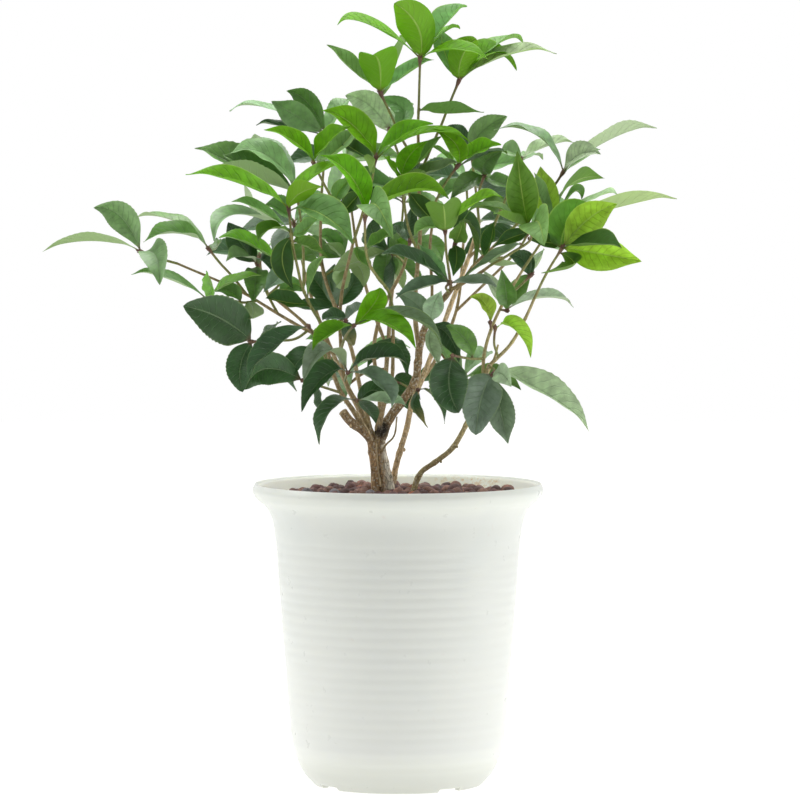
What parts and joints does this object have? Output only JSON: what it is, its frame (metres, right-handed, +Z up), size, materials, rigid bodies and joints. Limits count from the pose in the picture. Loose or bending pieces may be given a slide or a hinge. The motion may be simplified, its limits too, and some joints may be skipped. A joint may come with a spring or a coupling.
{
  "type": "potted osmanthus",
  "caption": "Young evergreen osmanthus shrub with several thin woody stems and leafy shoots, in a tall flared white plastic pot topped with clay pebbles.",
  "frame": {"origin": "middle of the pot's foot, on the ground", "axes": "+Z up along the pot's axis; -Y is the front in the picture; +X is to its right"},
  "size_m": [0.6308, 0.4012, 0.7818],
  "materials": {
    "white_plastic": "satin, slightly translucent",
    "potting_mix": "loose, moist, dark",
    "fired_clay": "rough, unglazed",
    "bark": "dry, finely cracked",
    "young_leaf": "soft gloss",
    "mature_leaf": "waxy gloss"
  },
  "bodies": {
    "root": {"pot": "white_plastic", "soil": "potting_mix", "clay_pebbles": "fired_clay", "trunk": "bark", "second_stem": "bark", "third_stem": "bark", "shoot_crown": "young_leaf", "shoot_crown_left": "young_leaf", "shoot_crown_right": "young_leaf", "shoot_left_of_middle": "young_leaf", "shoot_front_left": "young_leaf", "shoot_middle": "young_leaf", "shoot_front_middle": "young_leaf", "shoot_middle_right": "young_leaf", "shoot_right_of_middle": "young_leaf", "shoot_right_front": "young_leaf", "shoot_right": "young_leaf", "shoot_right_behind": "young_leaf", "shoot_front_right": "young_leaf", "shoot_right_bright": "young_leaf", "shoot_right_hanging": "young_leaf", "shoot_centre_left": "young_leaf", "shoot_high_left": "mature_leaf", "shoot_high_middle": "mature_leaf", "shoot_left_fan": "mature_leaf", "shoot_far_left": "mature_leaf", "shoot_left_arm_up": "mature_leaf", "shoot_left_arm_low": "mature_leaf", "shoot_left_middle": "mature_leaf", "shoot_low_left": "mature_leaf", "shoot_low_left_inner": "mature_leaf", "shoot_low_left_front": "mature_leaf", "shoot_high_right": "mature_leaf", "shoot_right_inner": "mature_leaf", "shoot_right_high_back": "mature_leaf", "shoot_right_top": "mature_leaf", "shoot_right_small": "mature_leaf", "shoot_fork": "mature_leaf", "shoot_right_low": "mature_leaf", "shoot_low_middle": "mature_leaf", "shoot_low_right": "mature_leaf", "shoot_centre": "mature_leaf", "shoot_low_front": "mature_leaf", "shoot_lowest": "mature_leaf", "shoot_low_centre": "mature_leaf", "shoot_low_brown": "mature_leaf", "shoot_centre_hanging": "mature_leaf", "shoot_inner_dark": "mature_leaf", "shoot_inner_pale": "mature_leaf", "shoot_inner_right": "mature_leaf", "shoot_inner_middle": "mature_leaf", "shoot_inner_low": "mature_leaf", "shoot_back_left": "mature_leaf", "shoot_back_far_left": "mature_leaf", "shoot_back_high_left": "mature_leaf", "shoot_back_middle": "mature_leaf", "shoot_back_low": "mature_leaf", "shoot_back_right": "mature_leaf", "shoot_back_far_right": "mature_leaf", "shoot_back_low_right": "mature_leaf"}
  },
  "joints": []
}
